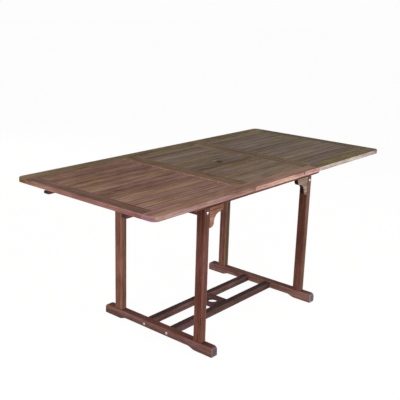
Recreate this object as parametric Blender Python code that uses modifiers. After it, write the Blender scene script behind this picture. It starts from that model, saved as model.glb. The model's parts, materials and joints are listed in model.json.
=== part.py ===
# Extending garden table in hardwood, drawn out to its full length.
# Two slatted leaves slide on the side rails of a trestle base, and a folding insert fills the middle.
# Metres, +Z up, +X along the length, -Y the front, origin on the floor under the middle of the top.
import bpy
import bmesh
from math import cos, sin, radians
from mathutils import Vector

# The top
TOP_LENGTH = 1.700
TOP_WIDTH = 0.800
TOP_HEIGHT = 0.7445
TOP_THICKNESS = 0.020
INSERT_LENGTH = 0.500
CORNER_RADIUS = 0.028
EDGE_ROUND = 0.002
STILE_WIDTH = 0.065
END_RAIL_WIDTH = 0.060
INNER_RAIL_WIDTH = 0.042
SLAT_WIDTH = 0.042
SLAT_GAP = 0.0054
SLAT_SINK = 0.001            # slat faces below the frame's face
SLAT_LIFT = 0.003            # slat undersides above the frame's underside
SLAT_CHAMFER = 0.0012
SLAT_TONGUE = 0.009
TONGUE_THICKNESS = 0.007
TONGUE_SHOULDER = 0.003
TENON_LENGTH = 0.025
TENON_THICKNESS = 0.008
TENON_SHOULDER = 0.012
SEAM = 0.0012                # between a leaf and the insert

# The insert and its fold
INSERT_RAIL_WIDTH = 0.040
CENTRE_BOARD_WIDTH = 0.086
INNER_STILE_WIDTH = 0.048
PARASOL_HOLE = 0.050
SPLIT_GAP = 0.004            # between the boards at the fold, where the hinge plates lie
SPLIT_MEET = 0.001           # between the end rails at the fold
HINGE_X = 0.130
HINGE_LENGTH = 0.050
HINGE_PLATE = 0.0012
HINGE_RADIUS = 0.0022
HINGE_BORE = 0.0026
HINGE_PIN = 0.0020
HINGE_LIFT = 0.0004          # hinge axis above the face of the top
HINGE_DROP = 0.0026          # top of the plates below the face of the top
HINGE_RISE = 0.003           # foot of the plates above the underside
KNUCKLE_SHARE = 0.0168       # length of the middle knuckle
KNUCKLE_PLAY = 0.0004

# The insert's pivots
PIVOT_Y = 0.089
PIVOT_DROP = 0.0135
STUD_DIAMETER = 0.008
PIVOT_PLAY = 0.0003
PIVOT_SHEET = 0.003
PIVOT_STANDOFF = 0.0011      # hanger in front of the insert's end
STUD_REACH = 0.001           # stud short of the insert's end
HANGER_WIDTH = 0.050
HANGER_TAIL = 0.035
HANGER_DEPTH = 0.024
PIVOT_GAP = 0.003            # between the hanger and the stud plate
STUD_PLATE_WIDTH = 0.040
BEARER_WIDTH = 0.025
BEARER_HEIGHT = 0.0243
BEARER_HOUSING = 0.008

# The trestles
TRESTLE_X = 0.395
LEG_WIDTH = 0.032
LEG_DEPTH = 0.0437
LEG_OUTER_Y = 0.2683
LEG_TENON = 0.020
LEG_TENON_SHOULDER = 0.008
TRESTLE_RAIL_HEIGHT = 0.030
TRESTLE_RAIL_DROP = 0.0052   # below the side rails
FOOT_LENGTH = 0.668
FOOT_WIDTH = 0.040
FOOT_HEIGHT = 0.045
FOOT_RELIEF = 0.0105
FOOT_PAD = 0.103
FOOT_RAMP = 0.032
FOOT_END_ROUND = 0.018
FOOT_EDGE_ROUND = 0.004
STRETCHER_Y = 0.070
STRETCHER_SIZE = 0.032
STRETCHER_DROP = 0.002       # below the foot bars' tops
PLATE_LENGTH = 0.110
PLATE_THICKNESS = 0.012
PLATE_DROP = 0.007           # below the stretchers' tops
PLATE_HOUSING = 0.008
BOLT_DIAMETER = 0.006
BOLT_HEAD = 0.0136
BOLT_HEAD_HEIGHT = 0.0034
BOLT_BITE = 0.032            # length of a bolt in the rail that it draws up
BOLT_PLAY = 0.0003

# The side rails and the slides
SIDE_RAIL_LENGTH = 0.980
SIDE_RAIL_THICKNESS = 0.025
SIDE_RAIL_HEIGHT = 0.070
SIDE_RAIL_ROUND = 0.020
BRACKET_SIZE = 0.090
BRACKET_FLAT = 0.011
BRACKET_NOSE = 0.020
BRACKET_THICKNESS = 0.022
RUNNER_WIDTH = 0.0302
RUNNER_HEIGHT = 0.023
RUNNER_PLAY = 0.0008
RUNNER_SETBACK = 0.0094      # behind the leaf's inner edge
RUNNER_END_GAP = 0.020       # inside the leaf's outer end
FLANGE_HEIGHT = 0.0108
KEEPER_THICKNESS = 0.0082
KEEPER_END_GAP = 0.040
RUN_CLEAR = 0.001
HEAD_GAP = 0.0067            # leg heads below the runners
LEAF_TRAVEL = 0.030
STOP_LENGTH = 0.020
STOP_CATCH = 0.010           # overlap of a stop and a leg head
STOP_PLAY = 0.0005
FRAME_ROUND = 0.002

CLEAR = 0.0003
ARC_STEPS = 8

# Levels and lines that several pieces share
under = TOP_HEIGHT - TOP_THICKNESS
stile_in = TOP_WIDTH / 2 - STILE_WIDTH
leaf_in = INSERT_LENGTH / 2 + SEAM / 2
leaf_out = TOP_LENGTH / 2
insert_end = INSERT_LENGTH / 2 - SEAM / 2
split = -(CENTRE_BOARD_WIDTH + SPLIT_GAP) / 2
hinge_axis = TOP_HEIGHT + HINGE_LIFT
rail_top = under - CLEAR
rail_bottom = rail_top - SIDE_RAIL_HEIGHT
rail_in = LEG_OUTER_Y - SIDE_RAIL_THICKNESS
leg_in = LEG_OUTER_Y - LEG_DEPTH
runner_out = rail_in - RUNNER_PLAY
runner_in = runner_out - RUNNER_WIDTH
runner_bottom = rail_top - RUNNER_HEIGHT
flange_top = runner_bottom + FLANGE_HEIGHT
keeper_in = rail_in - CLEAR - KEEPER_THICKNESS
head_top = runner_bottom - HEAD_GAP
trestle_rail_top = rail_bottom - TRESTLE_RAIL_DROP
stretcher_in = STRETCHER_Y - STRETCHER_SIZE / 2
stretcher_top = FOOT_HEIGHT - STRETCHER_DROP
pivot_z = under - PIVOT_DROP
hanger_x = insert_end + PIVOT_STANDOFF
stud_plate_x = hanger_x + PIVOT_SHEET + PIVOT_GAP
bearer_x = stud_plate_x + PIVOT_SHEET + CLEAR

SIDES = (("left", -1), ("right", 1))
FACES = (("front", -1), ("back", 1))

WOOD_TOP = ((0.150, 0.098, 0.076), 0.0, 0.55)
WOOD_FRAME = ((0.135, 0.062, 0.040), 0.0, 0.55)
WOOD_LOW = ((0.090, 0.045, 0.040), 0.0, 0.60)
ZINC = ((0.560, 0.550, 0.530), 1.0, 0.35)
BRONZE = ((0.110, 0.080, 0.050), 1.0, 0.45)

for old in list(bpy.data.objects):
    bpy.data.objects.remove(old, do_unlink=True)
parts = bpy.data.collections.new("extending_garden_table")
cutters = bpy.data.collections.new("cutters")
for collection in (parts, cutters):
    bpy.context.scene.collection.children.link(collection)


# Shapes
def place(name, mesh, location, rotation=(0, 0, 0), tool=False):
    piece = bpy.data.objects.new(name, mesh)
    piece.location = location
    piece.rotation_euler = rotation
    (cutters if tool else parts).objects.link(piece)
    if tool:
        piece.hide_render = True
        piece.display_type = "WIRE"
    return piece


def box(name, a, b, tool=False):
    """A block between two opposite corners, its origin at its middle."""
    a, b = Vector(a), Vector(b)
    bm = bmesh.new()
    bmesh.ops.create_cube(bm, size=1.0)
    bmesh.ops.scale(bm, vec=[abs(s) for s in b - a], verts=bm.verts)
    mesh = bpy.data.meshes.new(name)
    bm.to_mesh(mesh)
    bm.free()
    return place(name, mesh, (a + b) / 2, tool=tool)


def rod(name, axis, centre, diameter, length, tool=False, segments=32):
    """A round bar along x, y or z."""
    bm = bmesh.new()
    bmesh.ops.create_cone(bm, cap_ends=True, segments=segments,
                          radius1=diameter / 2, radius2=diameter / 2, depth=length)
    mesh = bpy.data.meshes.new(name)
    bm.to_mesh(mesh)
    bm.free()
    mesh.shade_smooth()
    mesh.set_sharp_from_angle(angle=radians(40))
    turn = {"x": (0, radians(90), 0), "y": (radians(90), 0, 0), "z": (0, 0, 0)}[axis]
    return place(name, mesh, centre, turn, tool)


def sawn(name, outline, plane, a, b, tool=False):
    """An outline in the xy, xz or yz plane, as thick as from a to b along the third axis."""
    us, vs = zip(*outline)
    u0, v0, depth = (min(us) + max(us)) / 2, (min(vs) + max(vs)) / 2, (a + b) / 2
    curve = bpy.data.curves.new(name, "CURVE")
    curve.dimensions = "2D"
    curve.fill_mode = "BOTH"
    curve.extrude = abs(b - a) / 2
    spline = curve.splines.new("POLY")
    spline.points.add(len(outline) - 1)
    for point, (u, v) in zip(spline.points, outline):
        point.co = (u - u0, v - v0, 0, 1)
    spline.use_cyclic_u = True
    shape = bpy.data.objects.new(name + "_outline", curve)
    turn, middle = {"xy": ((0, 0, 0), (u0, v0, depth)),
                    "xz": ((radians(90), 0, 0), (u0, depth, v0)),
                    "yz": ((radians(90), 0, radians(90)), (depth, u0, v0))}[plane]
    shape.location, shape.rotation_euler = middle, turn
    cutters.objects.link(shape)
    bpy.context.view_layer.update()
    mesh = bpy.data.meshes.new_from_object(
        shape.evaluated_get(bpy.context.evaluated_depsgraph_get()))
    mesh.name = name
    bm = bmesh.new()
    bm.from_mesh(mesh)
    bmesh.ops.remove_doubles(bm, verts=bm.verts, dist=0.00001)
    bmesh.ops.dissolve_limit(bm, angle_limit=radians(0.5), verts=bm.verts, edges=bm.edges)
    bmesh.ops.recalc_face_normals(bm, faces=bm.faces)
    bm.to_mesh(mesh)
    bm.free()
    piece = place(name, mesh, middle, turn, tool)
    bpy.data.objects.remove(shape)
    return piece


def turned(name, profile, location, rotation, steps=24):
    """A profile of (radius, height) points, top to bottom, turned about its own z."""
    mesh = bpy.data.meshes.new(name)
    mesh.from_pydata([(r, 0, z) for r, z in profile],
                     [(i, i + 1) for i in range(len(profile) - 1)], [])
    piece = place(name, mesh, location, rotation)
    screw = piece.modifiers.new("turn", "SCREW")
    screw.steps = screw.render_steps = steps
    screw.use_merge_vertices = True
    screw.merge_threshold = 0.00001
    screw.use_smooth_shade = True
    return piece


def arc(centre, radius, start, end):
    """Points on a circle from one angle to another, in degrees."""
    turn = (radians(end) - radians(start)) / ARC_STEPS
    return [(centre[0] + radius * cos(radians(start) + i * turn),
             centre[1] + radius * sin(radians(start) + i * turn)) for i in range(ARC_STEPS + 1)]


# Work on a shape
def cut(piece, tool):
    step = piece.modifiers.new("cut", "BOOLEAN")
    step.operation, step.solver, step.object = "DIFFERENCE", "EXACT", tool


def join(piece, tool):
    step = piece.modifiers.new("join", "BOOLEAN")
    step.operation, step.solver, step.object = "UNION", "EXACT", tool


def soften(piece, width, segments=2):
    step = piece.modifiers.new("soften", "BEVEL")
    step.width, step.segments = width, segments
    step.limit_method, step.angle_limit = "ANGLE", radians(40)


def tenon(child, parent, a, b):
    """A tongue on one piece, from its root to its tip, and the mortise for it in the other."""
    low = Vector([min(p) for p in zip(a, b)])
    high = Vector([max(p) for p in zip(a, b)])
    play = Vector((CLEAR, CLEAR, CLEAR))
    join(child, box(child.name + "_tenon", low, high, tool=True))
    cut(parent, box(child.name + "_mortise", low - play, high + play, tool=True))


def finish(piece, look, holder):
    """The piece's own material, and the empty that carries it."""
    colour, metallic, roughness = look
    skin = bpy.data.materials.new(piece.name)
    skin.use_nodes = True
    shader = skin.node_tree.nodes["Principled BSDF"]
    shader.inputs["Base Color"].default_value = (*colour, 1)
    shader.inputs["Metallic"].default_value = metallic
    shader.inputs["Roughness"].default_value = roughness
    piece.data.materials.append(skin)
    piece.parent = holder
    piece.location = Vector(piece.location) - Vector(holder.location)
    return piece


def holder(name, location):
    empty = bpy.data.objects.new(name, None)
    empty.location = location
    parts.objects.link(empty)
    return empty


# Pieces that come in several places
def bolt(name, location, rotation, reach):
    """A domed bolt, its origin under the head."""
    crown = [(BOLT_HEAD / 2 * sin(radians(a)), BOLT_HEAD_HEIGHT * (0.3 + 0.7 * cos(radians(a))))
             for a in (0, 25, 50, 75, 90)]
    shank = BOLT_DIAMETER / 2
    return turned(name, crown + [(BOLT_HEAD / 2, 0), (shank, 0), (shank, -reach), (0, -reach)],
                  location, rotation)


def rail_tenon(rail, stile, x0, x1, sy):
    """The tenon that holds the end of a rail in a long stile."""
    middle = under + TOP_THICKNESS / 2
    tenon(rail, stile,
          (x0 + TENON_SHOULDER, sy * (stile_in - TENON_SHOULDER), middle - TENON_THICKNESS / 2),
          (x1 - TENON_SHOULDER, sy * (stile_in + TENON_LENGTH), middle + TENON_THICKNESS / 2))


def slats(carrier, catcher, carrier_x, catcher_x, y0, y1):
    """Slats across a frame: one body with the rail that carries them, tongued into the other rail."""
    toward = 1 if catcher_x > carrier_x else -1
    pitch = SLAT_WIDTH + SLAT_GAP
    count = int((y1 - y0) / pitch)
    first = (y0 + y1) / 2 - (count - 1) * pitch / 2
    low, high = under + SLAT_LIFT, TOP_HEIGHT - SLAT_SINK
    half, middle = SLAT_WIDTH / 2, (low + high) / 2
    section = [(first - half, low), (first + half, low), (first + half, high - SLAT_CHAMFER),
               (first + half - SLAT_CHAMFER, high), (first - half + SLAT_CHAMFER, high),
               (first - half, high - SLAT_CHAMFER)]
    end = catcher_x - toward * CLEAR
    slat = sawn(carrier.name + "_slat", section, "yz", carrier_x - toward * SLAT_TONGUE, end, tool=True)
    tongue = box(carrier.name + "_tongue",
                 (end - toward * SLAT_TONGUE, first - half + TONGUE_SHOULDER, middle - TONGUE_THICKNESS / 2),
                 (end + toward * SLAT_TONGUE, first + half - TONGUE_SHOULDER, middle + TONGUE_THICKNESS / 2),
                 tool=True)
    for tool, step in ((slat, (pitch, 0, 0)), (tongue, (0, pitch, 0))):
        row = tool.modifiers.new("row", "ARRAY")
        row.count = count
        row.use_relative_offset = False
        row.use_constant_offset = True
        row.constant_offset_displace = step
        join(carrier, tool)
    rim = SLAT_GAP / 2
    cut(catcher, box(catcher.name + "_groove",
                     (catcher_x - toward * SLAT_TONGUE, y0 + rim, middle - TONGUE_THICKNESS / 2 - CLEAR),
                     (catcher_x + toward * SLAT_TONGUE, y1 - rim, middle + TONGUE_THICKNESS / 2 + CLEAR),
                     tool=True))


base = holder("base", (0, 0, 0))

# Foot bars, legs and cross rails of the two trestles
foot_end, foot_in = FOOT_LENGTH / 2, FOOT_LENGTH / 2 - FOOT_PAD
foot_low = [(-foot_end, 0), (-foot_in, 0), (-foot_in + FOOT_RAMP, FOOT_RELIEF),
            (foot_in - FOOT_RAMP, FOOT_RELIEF), (foot_in, 0), (foot_end, 0)]
shoulder_y, shoulder_z = foot_end - FOOT_END_ROUND, FOOT_HEIGHT - FOOT_END_ROUND
foot_outline = (foot_low + arc((shoulder_y, shoulder_z), FOOT_END_ROUND, 0, 90)
                + arc((-shoulder_y, shoulder_z), FOOT_END_ROUND, 90, 180))
stretchers = {}
for face, sy in FACES:
    y = sy * STRETCHER_Y
    inner = TRESTLE_X - FOOT_WIDTH / 2 - CLEAR
    stretchers[face] = box("stretcher_" + face, (-inner, y - STRETCHER_SIZE / 2, stretcher_top - STRETCHER_SIZE),
                           (inner, y + STRETCHER_SIZE / 2, stretcher_top))
    soften(stretchers[face], FRAME_ROUND)
    finish(stretchers[face], WOOD_LOW, base)

for side, sx in SIDES:
    x = sx * TRESTLE_X
    foot = sawn("foot_bar_" + side, foot_outline, "yz", x - FOOT_WIDTH / 2, x + FOOT_WIDTH / 2)
    soften(foot, FOOT_EDGE_ROUND, 3)
    cross = box("trestle_rail_" + side,
                (x - LEG_WIDTH / 2, -(leg_in - CLEAR), trestle_rail_top - TRESTLE_RAIL_HEIGHT),
                (x + LEG_WIDTH / 2, leg_in - CLEAR, trestle_rail_top))
    soften(cross, FRAME_ROUND)
    for face, sy in FACES:
        seat = rail_in - CLEAR
        profile = [(leg_in, FOOT_HEIGHT + CLEAR), (LEG_OUTER_Y, FOOT_HEIGHT + CLEAR),
                   (LEG_OUTER_Y, rail_bottom - CLEAR), (seat, rail_bottom - CLEAR),
                   (seat, head_top), (leg_in, head_top)]
        leg = sawn(f"leg_{side}_{face}", [(sy * y, z) for y, z in profile], "yz",
                   x - LEG_WIDTH / 2, x + LEG_WIDTH / 2)
        soften(leg, FRAME_ROUND)
        tenon(leg, foot,
              (x - LEG_WIDTH / 2 + LEG_TENON_SHOULDER, sy * (leg_in + LEG_TENON_SHOULDER),
               FOOT_HEIGHT - LEG_TENON),
              (x + LEG_WIDTH / 2 - LEG_TENON_SHOULDER, sy * (LEG_OUTER_Y - LEG_TENON_SHOULDER),
               FOOT_HEIGHT + LEG_TENON))
        bolt_z = trestle_rail_top - TRESTLE_RAIL_HEIGHT / 2
        reach = LEG_DEPTH + BOLT_BITE
        screw = bolt(f"leg_bolt_{side}_{face}", (x, sy * (LEG_OUTER_Y + CLEAR), bolt_z),
                     (radians(-90) * sy, 0, 0), reach)
        hole = rod(screw.name + "_hole", "y", (x, sy * LEG_OUTER_Y, bolt_z),
                   BOLT_DIAMETER + 2 * BOLT_PLAY, 2 * (reach + BOLT_PLAY), tool=True, segments=24)
        cut(leg, hole)
        cut(cross, hole)
        finish(leg, WOOD_FRAME, base)
        finish(screw, ZINC, base)

        low_z, outer = stretcher_top - STRETCHER_SIZE / 2, x + sx * FOOT_WIDTH / 2
        reach = FOOT_WIDTH + BOLT_BITE
        screw = bolt(f"stretcher_bolt_{side}_{face}", (outer + sx * CLEAR, sy * STRETCHER_Y, low_z),
                     (0, radians(90) * sx, 0), reach)
        hole = rod(screw.name + "_hole", "x", (outer, sy * STRETCHER_Y, low_z),
                   BOLT_DIAMETER + 2 * BOLT_PLAY, 2 * (reach + BOLT_PLAY), tool=True, segments=24)
        cut(foot, hole)
        cut(stretchers[face], hole)
        finish(screw, ZINC, base)
    finish(foot, WOOD_FRAME, base)
    finish(cross, WOOD_FRAME, base)

# Parasol plate, let into the stretchers under the hole in the top
plate_y, plate_top = stretcher_in + PLATE_HOUSING, stretcher_top - PLATE_DROP
plate = box("parasol_plate", (-PLATE_LENGTH / 2, -plate_y, plate_top - PLATE_THICKNESS),
            (PLATE_LENGTH / 2, plate_y, plate_top))
housing = box("parasol_plate_housing",
              (-PLATE_LENGTH / 2 - CLEAR, -plate_y - CLEAR, plate_top - PLATE_THICKNESS - CLEAR),
              (PLATE_LENGTH / 2 + CLEAR, plate_y + CLEAR, plate_top + CLEAR), tool=True)
for stretcher in stretchers.values():
    cut(stretcher, housing)
cut(plate, rod("parasol_plate_hole", "z", (0, 0, plate_top), PARASOL_HOLE, 4 * PLATE_THICKNESS,
               tool=True, segments=48))
finish(plate, WOOD_LOW, base)

# Side rails on the legs' shoulders, with the strips that keep the runners down
rail_end, corner = SIDE_RAIL_LENGTH / 2, SIDE_RAIL_ROUND
rail_outline = ([(-rail_end, rail_top), (-rail_end, rail_bottom + corner)]
                + arc((-rail_end + corner, rail_bottom + corner), corner, 180, 270)[1:]
                + arc((rail_end - corner, rail_bottom + corner), corner, 270, 360)
                + [(rail_end, rail_top)])
side_rails = {}
for face, sy in FACES:
    rail = sawn("side_rail_" + face, rail_outline, "xz", sy * rail_in, sy * LEG_OUTER_Y)
    soften(rail, FRAME_ROUND, 1)
    side_rails[face] = finish(rail, WOOD_FRAME, base)
    keeper = box("keeper_strip_" + face,
                 (-rail_end + KEEPER_END_GAP, sy * keeper_in, flange_top + RUN_CLEAR),
                 (rail_end - KEEPER_END_GAP, sy * (rail_in - CLEAR), under - RUN_CLEAR))
    finish(keeper, WOOD_FRAME, base)

# Shaped brackets between the legs and the side rails
hollow = BRACKET_SIZE - BRACKET_NOSE
hollow_radius = hollow - BRACKET_FLAT - BRACKET_NOSE
ogee = ([(0, 0), (BRACKET_SIZE, 0)] + arc((hollow, BRACKET_FLAT), BRACKET_NOSE, 0, 90)
        + arc((hollow, hollow), hollow_radius, 270, 180)[1:]
        + arc((BRACKET_FLAT, hollow), BRACKET_NOSE, 0, 90)[1:] + [(0, BRACKET_SIZE)])
for side, sx in SIDES:
    for face, sy in FACES:
        root = TRESTLE_X - LEG_WIDTH / 2 - CLEAR
        outline = [(sx * (root - u), rail_bottom - CLEAR - v) for u, v in ogee]
        bracket = sawn(f"bracket_{side}_{face}", outline, "xz",
                       sy * (LEG_OUTER_Y - BRACKET_THICKNESS), sy * LEG_OUTER_Y)
        soften(bracket, FRAME_ROUND, 1)
        finish(bracket, WOOD_FRAME, base)

# Bearers housed in the side rails, each with the plate and stud that the insert turns on
for side, sx in SIDES:
    bearer_y, bearer_top = rail_in + BEARER_HOUSING, rail_bottom + BEARER_HEIGHT
    a = Vector((sx * bearer_x, -bearer_y, rail_bottom))
    b = Vector((sx * (bearer_x + BEARER_WIDTH), bearer_y, bearer_top))
    bearer = box("bearer_" + side, a, b)
    finish(bearer, WOOD_FRAME, base)
    x0, x1 = sorted((a.x, b.x))
    for face, rail in side_rails.items():
        cut(rail, box(f"bearer_{side}_{face}_housing", (x0 - CLEAR, -bearer_y - CLEAR, rail_bottom - CLEAR),
                      (x1 + CLEAR, bearer_y + CLEAR, bearer_top + CLEAR), tool=True))
    stud_plate = box("stud_plate_" + side,
                     (sx * stud_plate_x, PIVOT_Y - STUD_PLATE_WIDTH / 2, rail_bottom + CLEAR),
                     (sx * (stud_plate_x + PIVOT_SHEET), PIVOT_Y + STUD_PLATE_WIDTH / 2, under - RUN_CLEAR))
    stud_end, stud_root = insert_end + STUD_REACH, stud_plate_x + PIVOT_SHEET / 2
    join(stud_plate, rod(f"stud_{side}", "x", (sx * (stud_end + stud_root) / 2, PIVOT_Y, pivot_z),
                         STUD_DIAMETER, stud_root - stud_end, tool=True, segments=24))
    finish(stud_plate, ZINC, base)

# The back half of the insert: centre board with the parasol hole, slats behind it
centre = CENTRE_BOARD_WIDTH / 2
rail_x = insert_end - INSERT_RAIL_WIDTH
mid = under + TOP_THICKNESS / 2


def insert_half(half, sy, board_name, board_y0, board_y1):
    """A frame of two rails, a long stile and a board at the fold, filled with slats."""
    holds = {"back": base, "front": fold}[half]
    stile = box(f"insert_{half}_stile", (-insert_end, sy * stile_in, under),
                (insert_end, sy * TOP_WIDTH / 2, TOP_HEIGHT))
    soften(stile, EDGE_ROUND)
    y_meet, y_stile = split + sy * SPLIT_MEET / 2, sy * (stile_in - CLEAR)
    rails = []
    for name, sx in ((f"insert_{half}_slats", -1), (f"insert_{half}_right_rail", 1)):
        rail = box(name, (sx * rail_x, y_meet, under), (sx * insert_end, y_stile, TOP_HEIGHT))
        soften(rail, EDGE_ROUND)
        rail_tenon(rail, stile, *sorted((sx * rail_x, sx * insert_end)), sy)
        rails.append(rail)
    board = box(board_name, (-rail_x + CLEAR, board_y0, under), (rail_x - CLEAR, board_y1, TOP_HEIGHT))
    soften(board, EDGE_ROUND)
    for rail, sx in zip(rails, (-1, 1)):
        tenon(board, rail,
              (sx * (rail_x - TENON_SHOULDER), board_y0 + TENON_SHOULDER, mid - TENON_THICKNESS / 2),
              (sx * (rail_x + TENON_LENGTH), board_y1 - TENON_SHOULDER, mid + TENON_THICKNESS / 2))
    slats(rails[0], rails[1], -rail_x, rail_x, *sorted((sy * stile_in, board_y1 if sy > 0 else board_y0)))
    if half == "back":
        cut(board, rod("parasol_hole", "z", (0, 0, mid), PARASOL_HOLE, 4 * TOP_THICKNESS,
                       tool=True, segments=48))
    for piece in (stile, board, *rails):
        finish(piece, WOOD_TOP, holds)


fold = holder("insert_fold", (0, split, hinge_axis))
insert_half("back", 1, "insert_centre_board", -centre, centre)
front_edge = split - SPLIT_GAP / 2
insert_half("front", -1, "insert_inner_stile", front_edge - INNER_STILE_WIDTH, front_edge)

# Hangers under the insert's end rails, bored for the studs
for side, sx in SIDES:
    top = under - CLEAR
    angle = [(insert_end - HANGER_TAIL, top), (hanger_x + PIVOT_SHEET, top),
             (hanger_x + PIVOT_SHEET, top - HANGER_DEPTH), (hanger_x, top - HANGER_DEPTH),
             (hanger_x, top - PIVOT_SHEET), (insert_end - HANGER_TAIL, top - PIVOT_SHEET)]
    hanger = sawn("insert_hanger_" + side, [(sx * x, z) for x, z in angle], "xz",
                  PIVOT_Y - HANGER_WIDTH / 2, PIVOT_Y + HANGER_WIDTH / 2)
    cut(hanger, rod(f"hanger_{side}_bore", "x", (sx * hanger_x, PIVOT_Y, pivot_z),
                    STUD_DIAMETER + 2 * PIVOT_PLAY, 4 * PIVOT_SHEET, tool=True, segments=24))
    finish(hanger, ZINC, base)

# Butt hinges on edge in the fold: a plate on each board, three knuckles and a pin
knuckles = {"back": ((KNUCKLE_SHARE / 2, HINGE_LENGTH / 2), (-HINGE_LENGTH / 2, -KNUCKLE_SHARE / 2)),
            "front": ((-KNUCKLE_SHARE / 2 + KNUCKLE_PLAY, KNUCKLE_SHARE / 2 - KNUCKLE_PLAY),)}
plate_high = TOP_HEIGHT - HINGE_DROP
for side, sx in SIDES:
    x = sx * HINGE_X
    for half, sy, holds in (("back", 1, base), ("front", -1, fold)):
        outer = split + sy * (SPLIT_GAP / 2 - CLEAR)
        inner = outer - sy * HINGE_PLATE
        name = f"hinge_{half}_{side}"
        leaf = box(name, (x - HINGE_LENGTH / 2, inner, under + HINGE_RISE),
                   (x + HINGE_LENGTH / 2, outer, plate_high))
        for i, (a, b) in enumerate(knuckles[half]):
            inset = HINGE_PLATE / 12
            join(leaf, box(f"{name}_neck{i}", (x + a, inner + sy * inset, plate_high - HINGE_PLATE),
                           (x + b, outer - sy * inset, hinge_axis), tool=True))
            join(leaf, rod(f"{name}_knuckle{i}", "x", (x + (a + b) / 2, split, hinge_axis),
                           2 * HINGE_RADIUS, b - a, tool=True, segments=20))
        cut(leaf, rod(name + "_bore", "x", (x, split, hinge_axis), HINGE_BORE, 2 * HINGE_LENGTH,
                      tool=True, segments=16))
        finish(leaf, BRONZE, holds)
    finish(rod("hinge_pin_" + side, "x", (x, split, hinge_axis), HINGE_PIN, HINGE_LENGTH, segments=16),
           BRONZE, base)

# The two leaves: long stiles, end rail, inner rail with slats, and a runner under each side
for side, sx in SIDES:
    slide = holder(side + "_leaf_slide", (sx * (leaf_in + leaf_out) / 2, 0, under))
    end_rail_in, inner_rail_out = leaf_out - END_RAIL_WIDTH, leaf_in + INNER_RAIL_WIDTH
    end_rail = box(side + "_leaf_end_rail", (sx * end_rail_in, -(stile_in - CLEAR), under),
                   (sx * leaf_out, stile_in - CLEAR, TOP_HEIGHT))
    inner_rail = box(side + "_leaf_slats", (sx * leaf_in, -(stile_in - CLEAR), under),
                     (sx * inner_rail_out, stile_in - CLEAR, TOP_HEIGHT))
    soften(end_rail, EDGE_ROUND)
    soften(inner_rail, EDGE_ROUND)
    for face, sy in FACES:
        out_y, r = TOP_WIDTH / 2, CORNER_RADIUS
        plan = ([(leaf_in, stile_in), (leaf_out, stile_in)] + arc((leaf_out - r, out_y - r), r, 0, 90)
                + [(leaf_in, out_y)])
        stile = sawn(f"{side}_leaf_{face}_stile", [(sx * x, sy * y) for x, y in plan], "xy",
                     under, TOP_HEIGHT)
        soften(stile, EDGE_ROUND)
        rail_tenon(end_rail, stile, *sorted((sx * end_rail_in, sx * leaf_out)), sy)
        rail_tenon(inner_rail, stile, *sorted((sx * leaf_in, sx * inner_rail_out)), sy)
        finish(stile, WOOD_TOP, slide)

        section = [(runner_in, runner_bottom), (runner_out, runner_bottom), (runner_out, flange_top),
                   (keeper_in - RUN_CLEAR, flange_top), (keeper_in - RUN_CLEAR, rail_top),
                   (runner_in, rail_top)]
        runner = sawn(f"{side}_leaf_{face}_runner", [(sy * y, z) for y, z in section], "yz",
                      sx * (leaf_in + RUNNER_SETBACK), sx * (leaf_out - RUNNER_END_GAP))
        stop_x = TRESTLE_X - LEG_WIDTH / 2 - LEAF_TRAVEL - STOP_PLAY
        join(runner, box(runner.name + "_stop",
                         (sx * (stop_x - STOP_LENGTH), sy * (leg_in + CLEAR), head_top - STOP_CATCH),
                         (sx * stop_x, sy * (runner_out - CLEAR), runner_bottom + FLANGE_HEIGHT / 2),
                         tool=True))
        finish(runner, WOOD_FRAME, slide)
    slats(inner_rail, end_rail, sx * inner_rail_out, sx * end_rail_in, -stile_in, stile_in)
    finish(end_rail, WOOD_TOP, slide)
    finish(inner_rail, WOOD_TOP, slide)
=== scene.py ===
# %% [markdown]
# # An extending garden table in oiled hardwood
# The construction comes ready made: two trestles, two side rails, two sliding leaves and an insert that
# folds. This lesson gives it what a joiner and a season outdoors give it: slats with eased edges, timber
# with grain that runs the right way in every piece, bolts and screws, and then a plain studio to look at
# it in.

# %% Load the construction
import json
from math import cos, sin, radians
import bpy
import bmesh
from mathutils import Matrix, Vector

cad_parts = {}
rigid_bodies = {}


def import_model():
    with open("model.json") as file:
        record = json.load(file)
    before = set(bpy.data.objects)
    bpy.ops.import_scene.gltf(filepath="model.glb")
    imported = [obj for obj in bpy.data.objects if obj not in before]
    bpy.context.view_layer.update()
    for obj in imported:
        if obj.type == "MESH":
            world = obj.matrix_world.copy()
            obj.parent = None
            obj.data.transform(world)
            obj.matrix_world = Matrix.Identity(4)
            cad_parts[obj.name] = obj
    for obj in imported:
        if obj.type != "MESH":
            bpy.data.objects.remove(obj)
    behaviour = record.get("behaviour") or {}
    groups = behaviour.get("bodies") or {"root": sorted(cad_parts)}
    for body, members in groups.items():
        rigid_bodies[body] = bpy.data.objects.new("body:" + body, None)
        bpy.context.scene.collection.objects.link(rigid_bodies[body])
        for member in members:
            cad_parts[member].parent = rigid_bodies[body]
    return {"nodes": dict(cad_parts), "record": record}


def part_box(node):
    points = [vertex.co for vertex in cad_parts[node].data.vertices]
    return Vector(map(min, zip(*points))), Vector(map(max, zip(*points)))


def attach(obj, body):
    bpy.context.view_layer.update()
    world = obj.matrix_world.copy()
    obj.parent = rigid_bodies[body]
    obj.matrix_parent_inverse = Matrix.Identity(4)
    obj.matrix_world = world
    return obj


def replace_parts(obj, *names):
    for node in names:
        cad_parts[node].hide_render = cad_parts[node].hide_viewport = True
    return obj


for leftover in list(bpy.data.objects):
    bpy.data.objects.remove(leftover, do_unlink=True)
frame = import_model()
nodes = frame["nodes"]
body_of = {}
for body, members in frame["record"]["behaviour"]["bodies"].items():
    body_of.update(dict.fromkeys(members, body))
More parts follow.
